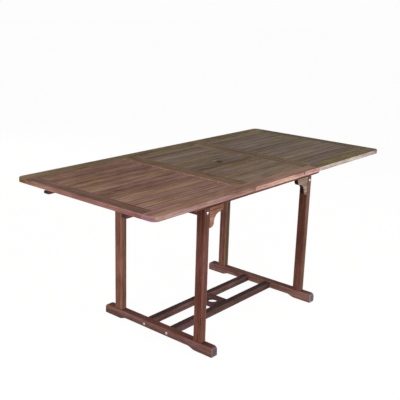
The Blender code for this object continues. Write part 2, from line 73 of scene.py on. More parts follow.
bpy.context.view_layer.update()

# %% [markdown]
# ## The camera
# The table is seen from its front left, a little above the top. The numbers below are a surveyor's: where
# the eye stands, which way it looks, and how long its lens is in pixels of a picture 400 wide. A lens in
# pixels turns into millimetres by the width of the sensor, and a view that isn't centred becomes the
# camera's shift.

# %% Camera
EYE = Vector((-2.5507, -2.0161, 1.4916))
YAW, PITCH, ROLL = 0.8629, 0.2882, 0.0268
PICTURE, FOCAL, AIM = 400, 705.86, (189.74, 204.57)   # pixels
SENSOR = 36   # millimetres


def placed(name, data):
    """A new object in the scene."""
    piece = bpy.data.objects.new(name, data)
    bpy.context.scene.collection.objects.link(piece)
    return piece


ahead = Vector((sin(YAW) * cos(PITCH), cos(YAW) * cos(PITCH), -sin(PITCH)))
level = Vector((cos(YAW), -sin(YAW), 0))
upright = level.cross(ahead)
right = level * cos(ROLL) + upright * sin(ROLL)
up = upright * cos(ROLL) - level * sin(ROLL)
camera = placed("camera", bpy.data.cameras.new("camera"))
camera.matrix_world = Matrix.Translation(EYE) @ Matrix((right, up, -ahead)).transposed().to_4x4()
camera.data.sensor_width = SENSOR
camera.data.lens = SENSOR * FOCAL / PICTURE
camera.data.shift_x = (PICTURE / 2 - AIM[0]) / PICTURE
camera.data.shift_y = (AIM[1] - PICTURE / 2) / PICTURE
bpy.context.scene.camera = camera
print(f"lens {camera.data.lens:.1f} mm, shift {camera.data.shift_x:.3f} {camera.data.shift_y:.3f}")

# %% [markdown]
# ## Node trees as arithmetic
# A shader is a chain of small sums. Wiring them by hand hides the sum, so one class wraps a socket and lets
# Python's operators add the Math nodes, and another holds the tree and makes any other node in one call.

# %% A value that can be reckoned with
class Value:
    """One socket of a node tree. Arithmetic on it adds Math nodes."""

    def __init__(self, tree, socket):
        self.tree, self.socket = tree, socket

    def __add__(self, other):
        return self.tree.maths("ADD", self, other)

    def __sub__(self, other):
        return self.tree.maths("SUBTRACT", self, other)

    def __rsub__(self, other):
        return self.tree.maths("SUBTRACT", other, self)

    def __mul__(self, other):
        return self.tree.maths("MULTIPLY", self, other)

    def __truediv__(self, other):
        return self.tree.maths("DIVIDE", self, other)

    def __abs__(self):
        return self.tree.maths("ABSOLUTE", self)

    __radd__, __rmul__ = __add__, __mul__

    def least(self, other):
        return self.tree.maths("MINIMUM", self, other)

    def most(self, other):
        return self.tree.maths("MAXIMUM", self, other)


print("values can be reckoned with")

# %% A tree that makes its nodes
class Tree:
    """A node tree that is filled from Python."""

    def __init__(self, tree):
        self.tree = tree

    def node(self, kind, settings=None, sockets=None, out=0):
        fresh = self.tree.nodes.new(kind)
        for key, value in (settings or {}).items():
            if key == "stops":
                ramp = fresh.color_ramp.elements
                while len(ramp) < len(value):
                    ramp.new(0.5)
                for stop, (place, colour) in zip(ramp, value):
                    stop.position, stop.color = place, (*colour, 1)
            else:
                setattr(fresh, key, value)
        for key, value in (sockets or {}).items():
            self.feed(fresh.inputs[key], value)
        return Value(self, fresh.outputs[out]) if fresh.outputs else fresh

    def feed(self, socket, value):
        if isinstance(value, Value):
            self.tree.links.new(value.socket, socket)
        else:
            socket.default_value = value

    def maths(self, operation, *values):
        return self.node("ShaderNodeMath", {"operation": operation}, dict(enumerate(values)))

    def clamp(self, value):
        return self.node("ShaderNodeClamp", None, {"Value": value})

    def rise(self, value, start, slope):
        """Nothing up to a start, then more and more up to one."""
        return self.clamp((value - start) * slope)

    def fall(self, value, end, slope):
        """One, then less and less down to nothing at an end."""
        return self.clamp((end - value) * slope)

    def vector(self, x, y, z):
        return self.node("ShaderNodeCombineXYZ", None, {0: x, 1: y, 2: z})

    def outputs(self, kind, sockets=None):
        """All outputs of a new node, by name."""
        fresh = self.node(kind, None, sockets).socket.node
        return {socket.name: Value(self, socket) for socket in fresh.outputs}

    def split(self, vector):
        return list(self.outputs("ShaderNodeSeparateXYZ", {0: vector}).values())

    def seen(self):
        """One for rays that show a surface to the eye, straight, in gloss or through glass."""
        rays = self.outputs("ShaderNodeLightPath")
        return self.clamp(rays["Is Camera Ray"] + rays["Is Glossy Ray"] + rays["Is Transmission Ray"])


print("node trees can be written as sums")

# %% [markdown]
# ## Timber
# The real wood is a red-brown hardwood under oil. Looked at closely it has slow bands of growth, finer
# fibres, short dark pores and a mottled sheen, all drawn out along the grain, and darker end grain where a
# board is sawn across. A picture of wood would repeat and would need unwrapping. A rule in space needs
# neither: the grain is noise that is stretched along one axis, so each piece only has to say which way its
# grain runs.

# %% One finish
class Finish(Tree):
    """A material with one Principled shader, written as sums."""

    def __init__(self, name):
        self.material = bpy.data.materials.new(name)
        self.material.use_nodes = True
        super().__init__(self.material.node_tree)
        self.shader = self.tree.nodes["Principled BSDF"]

    def noise(self, x, y, z, detail=2.0, roughness=0.5):
        return self.node("ShaderNodeTexNoise", {"noise_dimensions": "3D"},
                         {"Vector": self.vector(x, y, z), "Scale": 1.0, "Detail": detail,
                          "Roughness": roughness})

    def ramp(self, value, *stops):
        return self.node("ShaderNodeValToRGB", {"stops": stops}, {"Fac": value})

    def mix(self, share, a, b, blend="MIX"):
        return self.node("ShaderNodeMix", {"data_type": "RGBA", "blend_type": blend},
                         {0: share, 6: a, 7: b}, out=2)

    def bump(self, height, strength, distance):
        return self.node("ShaderNodeBump", None,
                         {"Strength": strength, "Distance": distance, "Height": height})

    def surface(self, **sockets):
        for key, value in sockets.items():
            self.feed(self.shader.inputs[key.replace("_", " ")], value)
        return self.material


def rgba(colour, share=1.0):
    """A colour as a socket takes it, made lighter or darker by a share."""
    return (*(c * share for c in colour), 1)


print("finishes are ready to be mixed")

# %% [markdown]
# Boards of one tree differ, so each piece has a stain and a depth: the left leaf is rosy, the right one is
# greyer and the base is redder, partly the boards' own tone and partly painted light, warm at the left and
# a grey sheen at the right. The side rails and stretchers are darker with painted shade from the top above
# them.
# Upright faces of some pieces carry painted light and others painted shade, the legs' fronts carry painted
# shade, and most sawn ends are dark, with painted shade on the ends that lie under the top.

# %% Stains
STAINS = {   # the middle tone of a board
    "rosy": (0.200, 0.113, 0.080),
    "brown": (0.160, 0.101, 0.059),
    "straw": (0.152, 0.105, 0.055),
    "grey": (0.170, 0.119, 0.087),
    "red": (0.160, 0.069, 0.050),
    "russet": (0.180, 0.091, 0.063),
    "ash": (0.198, 0.144, 0.117),
    "plum": (0.087, 0.048, 0.044),
    # the two stains below are the wood with painted light, for upright faces that the lamps light from the
    # front and the left
    "lit_rosy": (0.325, 0.189, 0.160),
    "lit_grey": (0.274, 0.225, 0.205),
}
DARKER, LIGHTER = (0.50, 0.45, 0.44), (1.58, 1.82, 1.95)   # shares of the middle tone
PLAIN = ("red", 1.0)
WOOD = {   # stain and depth of the pieces that aren't plain
    # the rosy left leaf and the greyer right leaf carry painted light besides their own tone: warm at the
    # left, a grey sheen at the right
    "left_leaf_front_stile": ("rosy", 1.14), "left_leaf_back_stile": ("straw", 0.95),
    "left_leaf_end_rail": ("rosy", 0.74), "left_leaf_slats_rail": ("brown", 1.15),
    "left_leaf_slats": ("rosy", 1.0),
    "insert_front_stile": ("rosy", 1.26), "insert_back_stile": ("straw", 0.99),
    "insert_front_slats_rail": ("brown", 1.0), "insert_back_slats_rail": ("brown", 1.0),
    "insert_front_right_rail": ("brown", 1.0), "insert_back_right_rail": ("brown", 1.0),
    "insert_front_slats": ("grey", 1.25), "insert_back_slats": ("grey", 1.03),
    "insert_centre_board": ("grey", 0.84), "insert_inner_stile": ("brown", 0.95),
    "right_leaf_front_stile": ("straw", 1.0), "right_leaf_back_stile": ("straw", 1.07),
    "right_leaf_end_rail": ("straw", 0.72), "right_leaf_slats_rail": ("brown", 0.93),
    "right_leaf_slats": ("grey", 0.92),
    "leg_left_front": ("red", 0.70), "leg_right_front": ("red", 1.03),
    "leg_left_back": ("russet", 0.95), "leg_right_back": ("russet", 1.45),
    "foot_bar_left": ("red", 0.76), "foot_bar_right": ("russet", 0.88),
    "bracket_left_front": ("russet", 1.16), "bracket_right_front": ("ash", 1.0),
    # the side rails and stretchers are darkened with painted shade, for they lie in the shade under the top
    "side_rail_front": ("red", 0.62), "side_rail_back": ("red", 0.62),
    "stretcher_front": ("plum", 0.46), "stretcher_back": ("plum", 0.52), "parasol_plate": ("plum", 1.0),
}
# painted light on upright faces that the lamps light, and painted shade on those between the slats and
# under the top
UPRIGHT_LIGHT_AND_SHADE = {   # the same for their upright faces, where those differ
    "left_leaf_front_stile": ("lit_rosy", 0.63), "insert_front_stile": ("lit_rosy", 1.0),
    "right_leaf_front_stile": ("lit_grey", 1.0), "left_leaf_end_rail": ("lit_rosy", 0.55),
    "left_leaf_slats_rail": ("rosy", 2.4), "insert_centre_board": ("brown", 0.10),
    "insert_inner_stile": ("brown", 0.60),
    "foot_bar_left": ("lit_rosy", 0.47), "foot_bar_right": ("lit_rosy", 0.85),
    "stretcher_front": ("plum", 0.76), "stretcher_back": ("plum", 1.3),
}
# painted shade on the legs' front faces
LEG_FRONT_SHADE = {   # and for the legs' front faces
    "leg_left_front": ("red", 0.62), "leg_left_back": ("russet", 0.64),
    "leg_right_front": ("russet", 0.52), "leg_right_back": ("brown", 0.68),
}
# painted shade on the ends of the brackets and runners, which lie in shade under the top
END_SHADE = (0.040, 0.028, 0.024)
ENDS = {   # colours of sawn ends that aren't just darker wood
    "foot_bar_left": (0.107, 0.080, 0.088), "foot_bar_right": (0.110, 0.111, 0.123),
    "left_leaf_front_stile": (0.177, 0.110, 0.132),
}
SIDES, FACES = ("left", "right"), ("front", "back")
for side in SIDES:
    for face in FACES:
        ENDS[f"bracket_{side}_{face}"] = END_SHADE
        ENDS[f"{side}_leaf_{face}_runner"] = END_SHADE


def stained(stain, depth):
    """A stain's colour at a depth."""
    return [c * depth for c in STAINS[stain]]


def palette(name):
    """The dark, middle and light tones of one piece."""
    middle = stained(*WOOD.get(name, PLAIN))
    dark, light = ([c * k for c, k in zip(middle, shift)] for shift in (DARKER, LIGHTER))
    return dark, middle, light


print(len(WOOD), "pieces in", len(STAINS), "stains")

# %% [markdown]
# A board is a slice of a trunk. Its rings are circles about a heart that lies beside and below it, and they
# wander along the trunk. Fibres, pores and mottling follow the same wandering lines at their own scales.
# One class holds these marks as values, so that each later step of the finish can use them again.

# %% Growth
GRAIN = {"x": (0, 1, 2), "y": (1, 2, 0), "z": (2, 0, 1)}   # axes along, across and through the board
FIGURE = {   # marks in a metre along and across the grain, a shift, then the noise's detail and roughness
    "wander": (1.6, 5, 0.0, 1.0, 0.5),
    "fibres": (16, 520, 0.0, 2.0, 0.65),
    "pores": (42, 1250, 0.0, 1.0, 0.5),
    "mottle": (6, 13, 0.0, 2.0, 0.5),
    "hue": (3, 22, 7.0, 1.0, 0.5),
}
RINGS_ALONG, RINGS_ACROSS, RINGS_APART = 0.7, 95, 9
RINGS_DETAIL, RINGS_ROUGHNESS = 4.0, 0.62
HEART_SPREAD, HEART_BELOW, HEART_WANDER = 0.11, 0.035, 0.022   # metres
GRAIN_WANDER = 0.012
TRUNKS_APART = 37                                              # so that boards differ
PORES_FROM = (0.60, 9)                                         # start and slope


class Grown(Finish):
    """The marks of growth in a piece with its grain along x, y or z."""

    def __init__(self, name, grain, box=None):
        super().__init__(name)
        self.name, self.box = name, box
        self.dark, self.middle, self.light = palette(name)
        self.axes = GRAIN[grain]
        self.place = self.split(self.node("ShaderNodeTexCoord", out="Object"))
        self.facing = self.split(self.node("ShaderNodeTexCoord", out="Normal"))

    def own(self):
        """The piece's own number, and how far a point is from its middle, across and through."""
        number = sum(ord(c) * (i + 3) for i, c in enumerate(self.name)) % 101 / 101
        middle = [(low + high) / 2 for low, high in zip(*self.box)]
        width, depth = self.axes[1:]
        return number, self.place[width] - middle[width], self.place[depth] - middle[depth]

    def figure(self, kind):
        """Noise that is drawn out along the grain."""
        lengthwise, crosswise, shift, detail, roughness = FIGURE[kind]
        return self.noise(self.along * lengthwise, self.across * crosswise,
                          self.through * crosswise + shift, detail, roughness)

    def grow(self):
        """Rings about the heart, fibres, pores and a mottled sheen."""
        self.number, beside, below = self.own()
        along, self.across, self.through = (self.place[axis] for axis in self.axes)
        self.along = along + self.number * TRUNKS_APART
        wander = self.figure("wander") - 0.5
        beside = beside - (self.number - 0.5) * HEART_SPREAD
        below = below + HEART_BELOW
        self.heart = self.maths("SQRT", beside * beside + below * below) + wander * HEART_WANDER
        self.rings = self.noise(self.along * RINGS_ALONG, self.heart * RINGS_ACROSS,
                                self.number * RINGS_APART, RINGS_DETAIL, RINGS_ROUGHNESS)
        self.across = self.across + wander * GRAIN_WANDER
        self.fibres = self.figure("fibres")
        self.mottle = self.figure("mottle")
        self.pore = self.rise(self.figure("pores"), *PORES_FROM)


print("wood grows with", ", ".join(FIGURE))

# %% [markdown]
# Planing and oil bring the figure out. One tone is reckoned from the rings, the fibres and the mottling,
# and a ramp turns it into the piece's dark, middle and light colours. A slow change of hue keeps the ramp
# from looking like paint, and the pores go on top as dark flecks.

# %% Oil
RINGS_SHARE, FIBRES_SHARE, MOTTLE_SHARE = 1.1, 0.9, 0.5   # in the tone
DARK_AT, MIDDLE_AT, LIGHT_AT = 0.28, 0.5, 0.75
WARM_AT, COOL_AT = 0.36, 0.64
PORES_SHARE, PORES_SHADE = 0.55, 0.8


class Oiled(Grown):
    """The colour of planed and oiled hardwood."""

    blue_stray = 0.08

    def tone(self):
        """How light the wood is, with one half for its middle tone."""
        rings, fibres = (self.rings - 0.5) * RINGS_SHARE, (self.fibres - 0.5) * FIBRES_SHARE
        return rings + fibres + (self.mottle - 0.5) * MOTTLE_SHARE + 0.5

    def oiled(self):
        """The colour of a planed and oiled face."""
        colour = self.ramp(self.tone(), (DARK_AT, self.dark), (MIDDLE_AT, self.middle),
                           (LIGHT_AT, self.light))
        warm, cool = (1.02, 1.03, 1 - self.blue_stray), (1.0, 0.97, 1 + self.blue_stray)
        hue = self.ramp(self.figure("hue"), (WARM_AT, warm), (COOL_AT, cool))
        colour = self.mix(1.0, colour, hue, "MULTIPLY")
        return self.mix(self.pore * PORES_SHARE, colour, rgba(self.dark, PORES_SHADE))


print("plain wood, dark to light:", [[round(c, 3) for c in tone] for tone in palette("plain")])

# %% [markdown]
# Then comes what a table goes through. Its edges are rubbed pale, more in some places than in others, and
# one board has a knot. An edge is where a point is near two faces of the piece's box at once, so the middle
# one of its three distances says how near it is, with no need to measure the mesh.

# %% Worn edges and a knot
WORN, FRAYED = 0.006, 0.012                  # metres from an edge
WORN_FROM, WORN_SHARE = (0.38, 4), 0.45      # start and slope in the mottling
KNOTS = {"insert_front_stile": ((0.125, -0.400, 0.7385), (0.0050, 0.012, 0.0075))}   # middle, half sizes
KNOT_TO, KNOT_SHARE, KNOT_SHADE = (1.3, 2), 0.9, 0.6


class Worn(Oiled):
    """Oiled hardwood with rubbed edges, for a piece that fills a box."""

    def wear(self, colour):
        """Edges rubbed pale, more in some places than in others."""
        gaps = [(p - low).least(high - p) for p, low, high in zip(self.place, *self.box)]
        least = gaps[0].least(gaps[1]).least(gaps[2])
        most = gaps[0].most(gaps[1]).most(gaps[2])
        rim = gaps[0] + gaps[1] + gaps[2] - least - most
        self.frayed = self.clamp(1 - rim / FRAYED)
        worn = self.clamp(1 - rim / WORN) * self.rise(self.mottle, *WORN_FROM)
        return self.mix(worn * WORN_SHARE, colour, rgba(self.light))

    def knotted(self, colour):
        """A dark knot, where the piece has one."""
        if self.name not in KNOTS:
            return colour
        away = [(p - at) / size for p, at, size in zip(self.place, *KNOTS[self.name])]
        ring = self.maths("SQRT", away[0] * away[0] + away[1] * away[1] + away[2] * away[2])
        return self.mix(self.fall(ring, *KNOT_TO) * KNOT_SHARE, colour, rgba(self.dark, KNOT_SHADE))


print("worn edges", WORN, "m, knots on", ", ".join(KNOTS))

# %% [markdown]
# Last, some faces get painted light and others painted shade, by the way they face, and the sawn ends are
# darker and fray pale at the rim, with painted shade on the ends that lie under the top. The way a face
# looks
# tells which it is: up, to the front, or along the grain. On a face with painted light and shade the figure
# stays the same. Fibres and pores also roughen the surface.

# %% Painted light and shade on faces, and sawn ends
FLANK_TO, FRONT_FROM, END_FROM = (0.8, 4), (0.3, 3), (0.45, 3)   # end or start, and slope
BORE_FROM = (0.03, 200)          # the parasol hole's wall, nearer the middle, gets no painted shade
YEARS, YEARS_STRAY = 420, 60     # in a metre of end grain
YEARS_FROM, YEARS_SHADE, CUT_SHADE = (0.35, 3), 0.55, 0.75
FRAYED_SHARE, FRAYED_SHADE = 0.8, 1.7
ROUGH, ROUGH_FIBRES, ROUGH_PORES = 0.60, 0.3, 0.2
HIGH_FIBRES, DEEP_PORES, HIGH_RINGS = 0.5, 0.8, 0.4
BUMP, BUMP_HEIGHT, SHEEN = 0.30, 0.0004, 0.025


class Timber(Worn):
    """Oiled hardwood after a season outdoors, with painted light and shade on some of its faces."""

    def restained(self, colour, share, stain, depth):
        """The same figure in another colour, on a share of the surface, for painted light and shade."""
        turn = [goal / c for goal, c in zip(stained(stain, depth), self.middle)]
        return self.mix(share, colour, self.mix(1.0, colour, rgba(turn), "MULTIPLY"))

    def weathered(self, colour):
        """Painted light and shade on upright faces and the legs' fronts, where they have them."""
        if self.name in UPRIGHT_LIGHT_AND_SHADE:
            flank = self.fall(abs(self.facing[2]), *FLANK_TO)
            # painted shade on the centre board's upright faces stops short of the parasol hole's wall
            if self.name == "insert_centre_board":
                flank = flank * self.rise(abs(self.place[1]), *BORE_FROM)
            colour = self.restained(colour, flank, *UPRIGHT_LIGHT_AND_SHADE[self.name])
        if self.name in LEG_FRONT_SHADE:
            front = self.rise(0 - self.facing[1], *FRONT_FROM)
            colour = self.restained(colour, front, *LEG_FRONT_SHADE[self.name])
        return colour

    def sawn(self, colour):
        """End grain with its years, dark, and pale at its rim."""
        end_on = self.rise(abs(self.facing[self.axes[0]]), *END_FROM)
        years = self.noise(self.heart * YEARS, self.across * YEARS_STRAY, self.through * YEARS_STRAY)
        # on the brackets and runners the end colour is painted shade
        cut = ENDS.get(self.name, [c * CUT_SHADE for c in self.middle])
        end = self.mix(self.rise(years, *YEARS_FROM), rgba(cut, YEARS_SHADE), rgba(cut))
        end = self.mix(self.frayed * FRAYED_SHARE, end, rgba(cut, FRAYED_SHADE))
        return self.mix(end_on, colour, end)

    def done(self):
        """The finished material."""
        self.grow()
        colour = self.oiled()
        for step in (self.wear, self.knotted, self.weathered, self.sawn):
            colour = step(colour)
        height = self.fibres * HIGH_FIBRES - self.pore * DEEP_PORES + self.rings * HIGH_RINGS
        rough = self.clamp(ROUGH + (self.fibres - 0.5) * ROUGH_FIBRES + self.pore * ROUGH_PORES)
        return self.surface(Base_Color=colour, Roughness=rough, Specular_IOR_Level=SHEEN,
                            Normal=self.bump(height, BUMP, BUMP_HEIGHT))


def seasoned(node, grain):
    """The finish of one whole piece of the construction."""
    return Timber(node, grain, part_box(node)).done()


# how many pieces have painted light and shade on their sides and fronts, and how many have end colours of
# their own
print("weathered sides", len(UPRIGHT_LIGHT_AND_SHADE), "fronts", len(LEG_FRONT_SHADE), "ends", len(ENDS))

# %% [markdown]
# ## Curved pieces
# Boxes from the construction can keep their flat faces. The brackets, the foot bars, the rounded corners
# and the round holes are facetted there. A copy with its points merged can be shaded smooth up to a sharp
# angle, and weighted normals keep the large faces flat and the eased edges round.

# %% Pieces with curves
CREASE, SAME_POINT = radians(36), 0.00001


def mesh_of(bm, name):
    """A mesh of what has been modelled."""
    mesh = bpy.data.meshes.new(name)
    bm.to_mesh(mesh)
    bm.free()
    return mesh


def planed(node, finish):
    """A smooth-shaded copy of a curved piece, standing in for its node."""
    bm = bmesh.new()
    bm.from_mesh(nodes[node].data)
    bmesh.ops.remove_doubles(bm, verts=bm.verts, dist=SAME_POINT)
    mesh = mesh_of(bm, node + "_planed")
    mesh.shade_smooth()
    mesh.set_sharp_from_angle(angle=CREASE)
    piece = placed(node + "_planed", mesh)
    even = piece.modifiers.new("even", "WEIGHTED_NORMAL")
    even.keep_sharp = True
    mesh.materials.clear()
    mesh.materials.append(finish)
    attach(piece, body_of[node])
    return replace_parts(piece, node)


curved = {}
for side in SIDES:
    curved["foot_bar_" + side] = "y"
    for face in FACES:
        curved[f"bracket_{side}_{face}"] = "x"
        curved[f"{side}_leaf_{face}_stile"] = "x"
for face in FACES:
    curved["side_rail_" + face] = "x"
curved["insert_centre_board"] = "x"
curved["parasol_plate"] = "y"
for node, grain in curved.items():
    planed(node, seasoned(node, grain))
print(f"{len(curved)} curved pieces")

# %% [markdown]
# The other boards of the base and of the top's frames are straight. Their own meshes are right as they
# come, so they only get a finish, with the grain along their length.

# %% Straight pieces
straight = {}
for side in SIDES:
    straight[side + "_leaf_end_rail"] = "y"
    straight["trestle_rail_" + side] = "y"
    straight["bearer_" + side] = "y"
    for face in FACES:
        straight[f"leg_{side}_{face}"] = "z"
        straight[f"{side}_leaf_{face}_runner"] = "x"
for face in FACES:
    straight["stretcher_" + face] = "x"
    straight["keeper_strip_" + face] = "x"
    straight[f"insert_{face}_stile"] = "x"
    straight[f"insert_{face}_right_rail"] = "y"
straight["insert_inner_stile"] = "x"
for node, grain in straight.items():
    nodes[node].data.materials.clear()
    nodes[node].data.materials.append(seasoned(node, grain))
print(f"{len(straight)} straight pieces")

# %% [markdown]
# ## Slats
# Each field of the top is a row of equal slats. One slat is a rounded section drawn along a line, and the
# row is that slat on a line of points, so Geometry Nodes suit it: change the count or the pitch and the row
# follows. Each slat gets a number of its own, which the timber reads, so that no two look cut from the same
# board. It also carries the place across its width, for the band of painted highlight along its front and
# for its pale edges.

# %% The slat tree
ARC_POINTS = 4   # on each eased edge


def group_input(tree, kind, name):
    return tree.tree.interface.new_socket(name, in_out="INPUT", socket_type=kind).identifier


def slat_tree():
    """A row of slats along x, spread over y, with names for its sizes."""
    g = Tree(bpy.data.node_groups.new("slat row", "GeometryNodeTree"))
    g.tree.interface.new_socket("Geometry", in_out="OUTPUT", socket_type="NodeSocketGeometry")
    keys = {name: group_input(g, kind, name) for name, kind in
            (("Slats", "NodeSocketInt"), ("Pitch", "NodeSocketFloat"), ("Length", "NodeSocketFloat"),
             ("Width", "NodeSocketFloat"), ("Thickness", "NodeSocketFloat"), ("Easing", "NodeSocketFloat"),
             ("Middle", "NodeSocketVector"), ("Seed", "NodeSocketInt"), ("Timber", "NodeSocketMaterial"))}
    size = g.outputs("NodeGroupInput")
    outline = g.node("GeometryNodeCurvePrimitiveQuadrilateral", {"mode": "RECTANGLE"},
                     {"Width": size["Width"], "Height": size["Thickness"]})
    eased = g.node("GeometryNodeFilletCurve", {"mode": "POLY"},
                   {"Curve": outline, "Radius": size["Easing"], "Count": ARC_POINTS})
    half = size["Length"] * 0.5
    run = g.node("GeometryNodeCurvePrimitiveLine", {"mode": "POINTS"},
                 {"Start": g.vector(0 - half, 0.0, 0.0), "End": g.vector(half, 0.0, 0.0)})
    slat = g.node("GeometryNodeCurveToMesh", None,
                  {"Curve": run, "Profile Curve": eased, "Fill Caps": True})
    spot = g.split(g.node("GeometryNodeInputPosition"))
    slat = g.node("GeometryNodeStoreNamedAttribute", {"data_type": "FLOAT", "domain": "POINT"},
                  {"Geometry": slat, "Name": "across", "Value": spot[1]})
    first = (size["Slats"] - 1) * size["Pitch"] * -0.5
    row = g.node("GeometryNodeMeshLine", {"mode": "OFFSET"},
                 {"Count": size["Slats"], "Start Location": g.vector(0.0, first, 0.0),
                  "Offset": g.vector(0.0, size["Pitch"], 0.0)})
    laid = g.node("GeometryNodeInstanceOnPoints", None, {"Points": row, "Instance": slat})
    number = g.node("FunctionNodeRandomValue", {"data_type": "FLOAT"}, {"Seed": size["Seed"]}, out=1)
    named = g.node("GeometryNodeStoreNamedAttribute", {"data_type": "FLOAT", "domain": "INSTANCE"},
                   {"Geometry": laid, "Name": "board", "Value": number})
    moved = g.node("GeometryNodeTransform", None, {"Geometry": named, "Translation": size["Middle"]})
    real = g.node("GeometryNodeRealizeInstances", None, {"Geometry": moved})
    skin = g.node("GeometryNodeSetMaterial", None, {"Geometry": real, "Material": size["Timber"]})
    g.node("NodeGroupOutput", None, {"Geometry": skin})
    return g.tree, keys


row_tree, row_keys = slat_tree()
print("slat tree with", ", ".join(row_keys))

# %% [markdown]
# What a tree makes is turned into a plain mesh, because a library wants meshes and not the way they were
# made. A board with eased edges needs no tree: it is a box whose edges are bevelled.

# %% Plain meshes from trees and boards
BOARD_EASING = 0.002


def evaluated(maker):
    """The mesh of an object after its modifiers."""
    bpy.context.view_layer.update()
    return bpy.data.meshes.new_from_object(maker.evaluated_get(bpy.context.evaluated_depsgraph_get()))


def made(name, tree, values, body, spots=()):
    """What a tree makes, from spots where it needs them, as a plain mesh that rides on a body."""
    start = bpy.data.meshes.new(name + "_maker")
    start.from_pydata([place for place, facing in spots], [], [])
    turn = start.attributes.new("facing", "FLOAT_VECTOR", "POINT")
    for at, (place, facing) in zip(turn.data, spots):
        at.vector = facing
    maker = placed(name + "_maker", start)
    step = maker.modifiers.new("tree", "NODES")
    step.node_group = tree
    for key, value in values.items():
        step[key] = value
    mesh = evaluated(maker)
    mesh.name = name
    bpy.data.objects.remove(maker)
    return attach(placed(name, mesh), body)


def board(name, low, high, finish, body):
    """A straight board between two corners, with eased edges."""
    bm = bmesh.new()
    bmesh.ops.create_cube(bm, size=1.0)
    bmesh.ops.scale(bm, vec=high - low, verts=bm.verts)
    bmesh.ops.translate(bm, vec=(low + high) / 2, verts=bm.verts)
    bmesh.ops.bevel(bm, geom=bm.edges, offset=BOARD_EASING, segments=3, profile=0.5, affect="EDGES")
    mesh = mesh_of(bm, name)
    mesh.materials.append(finish)
    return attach(placed(name, mesh), body)


print("trees and boards turn into meshes")

# %% [markdown]
# A slat's edges are rubbed pale and carry a painted highlight, a band of painted highlight runs along its
# front, and painted shade darkens its sides in the gaps. How much differs from leaf to leaf, and so does
# the contrast of the grain.

# %% Slats and their finish
SLAT_WIDTH, SLAT_GAP, SLAT_EASING = 0.042, 0.0054, 0.0028
SLAT_PITCH = SLAT_WIDTH + SLAT_GAP
SLAT_SINK, SLAT_LIFT = 0.001, 0.003   # below the frame's face, and above its underside
UNDER, FACE_OF_TOP = (corner.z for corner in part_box("insert_front_stile"))
SLAT_LOW, SLAT_HIGH = UNDER + SLAT_LIFT, FACE_OF_TOP - SLAT_SINK
SLAT_MIDDLE = (SLAT_LOW + SLAT_HIGH) / 2
PALE_FROM, PALE_REACH, PALE_SHARE = 0.0150, 0.004, 0.10   # pale edges, rubbed and with a painted highlight, from a slat's middle
PALE_PATCHES, PALE_SHADE = (0.30, 4), 1.25
# painted shade on a slat's upright sides
SIDE_SHADE_TO, SIDE_SHADE_DARK = (0.58, 4), 0.4
# the band of painted highlight along a slat's front
LIP_REACH, LIP_CORE = 0.005, 1.4
SLATS_DIFFER = 0.18
CALM = {"insert_front_slats": 0.75, "insert_back_slats": 0.7, "right_leaf_slats": 0.7}   # less contrast
LIPS = {   # the painted highlight on a slat's front, how far that is from its middle, and the painted shade on its sides
    "left_leaf_slats": (0.12, 0.010, 0.70),
    "insert_front_slats": (0.03, 0.011, 0.45),
    "insert_back_slats": (0.22, 0.016, 0.90),
    "right_leaf_slats": (0.22, 0.016, 0.90),
}


class SlatTimber(Timber):
    """The same hardwood on a row of slats, each with a number of its own."""

    blue_stray = 0.16

    def own(self):
        number = self.node("ShaderNodeAttribute", {"attribute_name": "board"}, out="Fac")
        self.reach = self.node("ShaderNodeAttribute", {"attribute_name": "across"}, out="Fac")
        return number, self.reach, self.place[2] - SLAT_MIDDLE

    def tone(self):
        figure = (super().tone() - 0.5) * CALM.get(self.name, 1.0)
        return figure + (self.number - 0.5) * SLATS_DIFFER + 0.5

    def wear(self, colour):
        """Pale edges, rubbed and with a painted highlight, a band of painted highlight along each slat's
        front, and painted shade on its sides.
        """
        pale = rgba(self.light, PALE_SHADE)
        # pale edges, rubbed pale and with a painted highlight on them
        edge = self.clamp((abs(self.reach) - PALE_FROM) / PALE_REACH)
        self.frayed = edge * self.rise(self.mottle, *PALE_PATCHES)
        colour = self.mix(self.frayed * PALE_SHARE, colour, pale)
        # a band of painted highlight along each slat's front
        share, inset, side_shade_share = LIPS[self.name]
        lip = self.clamp(LIP_CORE - abs(self.reach + inset) / LIP_REACH)
        colour = self.mix(lip * share, colour, pale)
        # painted shade on the slat's upright sides, in the gaps between slats
        side_shade = self.fall(abs(self.facing[2]), *SIDE_SHADE_TO)
        return self.mix(side_shade * side_shade_share, colour, rgba(self.dark, SIDE_SHADE_DARK))


print(f"slats from {SLAT_LOW:.4f} to {SLAT_HIGH:.4f} m high")

# %% [markdown]
# On the real table each field is glued into a rail at one end. Its slats reach to the next rail and lie
# between two boards, so their length, their number and their place all come from those neighbours' faces.

# %% Rails with their slats
LEAF_RAIL, INSERT_RAIL = 0.042, 0.040         # widths
CLEAR = 0.0003                                # a hair's breadth between boards
STILE_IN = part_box("insert_back_stile")[0].y   # inner faces of the outer boards


